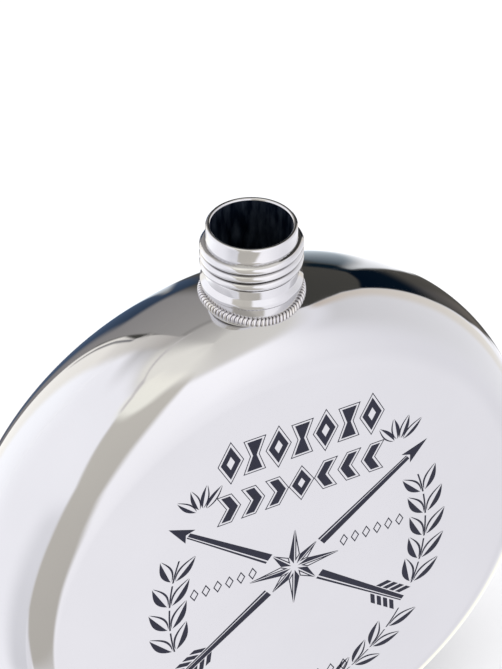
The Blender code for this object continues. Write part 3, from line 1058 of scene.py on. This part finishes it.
# What the steel mirrors: a white photographer's tent with gaps, as soft-edged patches of
# directions laid one over another. Each has its elevations, its left and right azimuths at
# those elevations (one number for an upright edge), its softness in degrees at the (left,
# right, lower, upper) edge, and the tones that it gives the steel at its bottom and top, as
# display values.
# Azimuth 0 is in front of the flask's face (-Y) and 90 is to its right (+X).
TENT = (0.850, 0.846, 0.866)
PATCHES = {
    "left wall": ((-90, 15, 30, 45, 55, 63, 70), -158, (-60, -60, -66, -76, -86, -102, -130),
        (14, 5, 1, 8), (0.92, 0.918, 0.938), (0.915, 0.912, 0.93)),
    "left wall glow": ((-60, 30), -166, (-122, -140), (8, 36, 20, 34), (0.965, 0.97, 0.985),
        (0.96, 0.962, 0.98)),
    "left wall shade": ((-50, 12), (-92, -80), -60, (26, 4, 10, 14), (0.8, 0.8, 0.82),
        (0.85, 0.848, 0.868)),
    "front glow": ((-70, -30, 0, 62), -50, (30, 30, 22, 44), (4, 64, 30, 12), (0.905, 0.9, 0.918),
        (0.965, 0.96, 0.975)),
    "right wall": ((-60, -20, 50), (80, 74, 64), 140, (36, 1, 30, 10), (0.915, 0.915, 0.93),
        (0.775, 0.77, 0.78)),
    "right floor": ((-90, -60, -44), (70, 80, 100), 190, (40, 20, 1, 5), (1.0, 0.99, 0.9),
        (0.96, 0.955, 0.9)),
    "ceiling": ((60, 90), -180, 180, (0, 0, 12, 0), (0.8, 0.79, 0.775), (0.775, 0.765, 0.745)),
    "ceiling back": ((48, 90), 135, 215, (60, 60, 10, 30), (0.56, 0.55, 0.54), (0.7, 0.69, 0.675)),
    "ceiling left": ((62, 88), -140, -24, (50, 60, 6, 16), (0.885, 0.875, 0.845),
        (0.86, 0.85, 0.825)),
    "grey gap": ((-48, -35, -25, -15, 0, 20, 45, 64), (-46, -56, -60, -60, -60, -62, -76, -90),
        (8, -4, -10, -17, -24, -27, -27, -24), (5, 9, 10, 12), (0.68, 0.665, 0.64),
        (0.74, 0.725, 0.695)),
    "cream lamp": ((50, 56, 70), (-84, -92, -96), (-64, -52, -40), (12, 18, 7, 9),
        (0.905, 0.9, 0.865), (0.925, 0.915, 0.875)),
    "tent seam": ((52, 58, 64, 68), (-84, -91, -108, -172), (-80, -86, -98, -140), (3, 3, 3, 3),
        (0.79, 0.775, 0.77), (0.74, 0.725, 0.72)),
    "cloth": ((-50, 15, 32), (186, 187, 191), (202, 203, 205), (1, 7, 8, 8), (0.975, 0.97, 0.955),
        (0.89, 0.875, 0.85)),
    "cloth top": ((28, 38, 48, 64), (190, 194, 193, 192), (204, 206, 206, 210), (1, 9, 8, 8),
        (0.86, 0.845, 0.825), (0.66, 0.645, 0.63)),
    "door": ((-36, -25, -15, 0, 28, 38, 46, 54, 66),
        (138, 127, 120, 117, 116, 113.5, 109, 103, 98),
        (170, 186, 188, 188, 191, 195, 194, 194, 194), (1.8, 1.5, 7, 6), (0.28, 0.27, 0.255),
        (0.22, 0.22, 0.21)),
    "door smear": ((-26, -8, 10), (126, 120.5, 121), (134, 127, 123), (2, 5, 6, 6),
        (0.37, 0.35, 0.33), (0.19, 0.2, 0.22)),
    "door right": ((-30, 12, 66), (181, 170, 160), (189, 188.5, 196), (9, 1.5, 12, 6),
        (0.44, 0.43, 0.44), (0.58, 0.57, 0.56)),
    "door navy": ((-31, 12), (160, 165), (180, 182), (3, 7, 5, 9), (0.27, 0.33, 0.42),
        (0.17, 0.22, 0.29)),
    "door blue": ((0, 17, 22, 28), (117.5, 117, 116.8, 116.5), (133, 133, 125, 117.5),
        (1, 2, 14, 1.5), (0.03, 0.07, 0.11), (0.0, 0.05, 0.1)),
    "door blue top": ((12, 18), (133, 132), (145, 143), (2, 4, 2.5, 2), (0.03, 0.09, 0.13),
        (0.03, 0.09, 0.13)),
    "door edge": ((-24, 0, 28, 38, 46, 54), (106, 108, 109, 107, 102, 96),
        (119, 116.6, 115.6, 113.1, 108.6, 102.6), (8, 1.5, 16, 6), (0.84, 0.825, 0.8),
        (0.74, 0.7, 0.665)),
    "door hollow": ((-40, -25, -10, 0, 11), (149, 146, 141, 138, 136), (159, 158, 155, 151, 143),
        (3, 5, 3, 5), (0.8, 0.84, 0.87), (0.25, 0.29, 0.32)),
    "door lamp": ((-40, -30, -20, -10, 0, 13), (147, 143, 138.5, 135.8, 134.2, 133.3),
        (150.5, 149.5, 147, 142.5, 138.5, 134.8), (1.5, 5, 3, 2), (1.05, 1.05, 1.06),
        (0.72, 0.73, 0.74)),
    "door glint": ((-40, -30, -20, -10, 3), (155, 158, 162, 165, 168.8),
        (160.5, 162.5, 165, 167, 169.8), (1.5, 1.5, 4, 3), (0.92, 0.96, 1.0), (0.42, 0.42, 0.42)),
    "cloth fold": ((4, 15, 25, 38), (190.6, 190.8, 192, 195.2), (191.6, 192.2, 193.4, 196.4),
        (0.8, 1.2, 5, 4), (0.6, 0.59, 0.58), (0.38, 0.38, 0.4)),
}
ROOM_CENTRE = np.array((0.0, 0.0, 0.06))
ROOM_RADIUS = 2.0
ROOM_COLUMNS = 960
ROOM_ROWS = 480
STEEL_TONE = 0.62              # the share of light that the polished steel sends back
FLOOR_SIZE = 6.0
WORLD_COLOUR = (0.985, 0.985, 1.0, 1.0)
WORLD_STRENGTH = 1.05
LAMP_AZIMUTH = -40
LAMP_ELEVATION = 75
LAMP_DISTANCE = 1.4
LAMP_SIZE = 1.2
LAMP_POWER = 5.0


def soft_step(value):
    """smooth_share for arrays."""
    value = np.clip(value, 0.0, 1.0)
    return value * value * (3 - 2 * value)


def to_linear(tone):
    """Light as a renderer adds it, from a display value."""
    return np.array([((value + 0.055) / 1.055) ** 2.4 for value in tone])


def patch_share(azimuth, elevation, patch):
    """How much of a patch covers each direction: 1 well inside it and 0 outside."""
    elevations, lefts, rights, softness = patch[:4]
    left, right = (np.interp(elevation, elevations, np.broadcast_to(edge, len(elevations)))
                   for edge in (lefts, rights))
    middle = (left + right) / 2
    across = (azimuth - middle + 180) % 360 - 180 + middle
    reaches = (across - left, right - across,
               elevation - elevations[0], elevations[-1] - elevation)
    share = 1.0
    for reach, soft in zip(reaches, softness):
        if soft:
            share = share * soft_step(reach / soft + 0.5)
    return share[:, None]


def room_tones(azimuth, elevation):
    """Radiance that the steel mirrors from each direction of the room."""
    colour = np.tile(to_linear(TENT), (len(azimuth), 1))
    for patch in PATCHES.values():
        share = patch_share(azimuth, elevation, patch)
        low, high = patch[0][0], patch[0][-1]
        climb = np.clip((elevation - low) / (high - low), 0.0, 1.0)[:, None]
        tone = to_linear(patch[4]) * (1 - climb) + to_linear(patch[5]) * climb
        colour = colour * (1 - share) + tone * share
    return colour / STEEL_TONE


def direction(azimuth, elevation):
    """Unit vectors for angles in degrees, as a row each if the angles are arrays."""
    a, e = np.radians(azimuth), np.radians(elevation)
    return np.array((np.sin(a) * np.cos(e), -np.cos(a) * np.cos(e), np.sin(e))).T


def room_light():
    """A material that glows with the tone stored at each point of the room."""
    material = bpy.data.materials.new("room_tones")
    material.use_nodes = True
    tree = material.node_tree
    tree.nodes.clear()
    output = tree.nodes.new("ShaderNodeOutputMaterial")
    emission = tree.nodes.new("ShaderNodeEmission")
    tone = tree.nodes.new("ShaderNodeAttribute")
    tone.attribute_name = "tone"
    tree.links.new(tone.outputs["Color"], emission.inputs["Color"])
    tree.links.new(emission.outputs["Emission"], output.inputs["Surface"])
    return material


def make_room():
    """A shell that only mirror-like surfaces see, so it never shows in a picture itself."""
    turns = np.arange(ROOM_COLUMNS) * 360.0 / ROOM_COLUMNS - 180.0
    climbs = np.linspace(-90.0, 90.0, ROOM_ROWS + 1)
    azimuth = np.tile(turns, ROOM_ROWS + 1)
    elevation = np.repeat(climbs, ROOM_COLUMNS)
    points = ROOM_CENTRE + direction(azimuth, elevation) * ROOM_RADIUS
    mesh = bpy.data.meshes.new("reflected_room")
    mesh.from_pydata(points.tolist(), [], grid_faces(ROOM_ROWS + 1, ROOM_COLUMNS))
    tones = np.ones((len(azimuth), 4))
    tones[:, :3] = room_tones(azimuth, elevation)
    attribute = mesh.attributes.new("tone", "FLOAT_COLOR", "POINT")
    attribute.data.foreach_set("color", tones.ravel())
    mesh.materials.append(room_light())
    room = new_object("reflected_room", mesh)
    room.visible_camera = False
    room.visible_diffuse = False
    room.visible_shadow = False
    room.visible_transmission = False


def make_floor():
    bpy.ops.mesh.primitive_plane_add(size=FLOOR_SIZE, location=(0, 0, 0))
    floor = bpy.context.object
    floor.name = "floor"
    material, nodes = new_nodes("pale_floor")
    tone = nodes.noise(nodes.position(), 2.0)
    nodes.feed(Base_Color=nodes.ramp(tone, (0.3, (0.90, 0.90, 0.905)),
                                     (0.7, (0.92, 0.92, 0.925))))
    nodes.set(Roughness=0.7)
    floor.data.materials.append(material)
    floor.visible_glossy = False


def make_world():
    world = bpy.data.worlds.new("studio")
    bpy.context.scene.world = world
    world.use_nodes = True
    background = world.node_tree.nodes["Background"]
    background.inputs["Color"].default_value = WORLD_COLOUR
    background.inputs["Strength"].default_value = WORLD_STRENGTH


def make_lamp():
    """One large soft lamp overhead, which the steel doesn't mirror."""
    data = bpy.data.lights.new("overhead", "AREA")
    data.shape = "DISK"
    data.size = LAMP_SIZE
    data.energy = LAMP_POWER
    lamp = new_object("overhead", data)
    away = Vector(direction(LAMP_AZIMUTH, LAMP_ELEVATION))
    lamp.location = away * LAMP_DISTANCE
    lamp.rotation_euler = away.to_track_quat("Z", "Y").to_euler()
    lamp.visible_glossy = False


def make_camera():
    data = bpy.data.cameras.new("camera")
    data.lens = CAMERA_LENS
    data.clip_start = 0.01
    camera = new_object("camera", data)
    back = Vector(direction(CAMERA_AZIMUTH, CAMERA_ELEVATION))
    camera.location = Vector(CAMERA_TARGET) + back * CAMERA_DISTANCE
    camera.rotation_mode = "QUATERNION"
    camera.rotation_quaternion = (-back).to_track_quat("-Z", "Y")
    bpy.context.scene.camera = camera


make_body()
make_neck()
make_weld_bead()
make_print()
make_cap_shell()
make_cap_disc()
make_cap_liner()
make_sealing_ring()
make_floor()
make_world()
make_room()
make_lamp()
make_camera()
bpy.context.scene.view_settings.view_transform = "Standard"
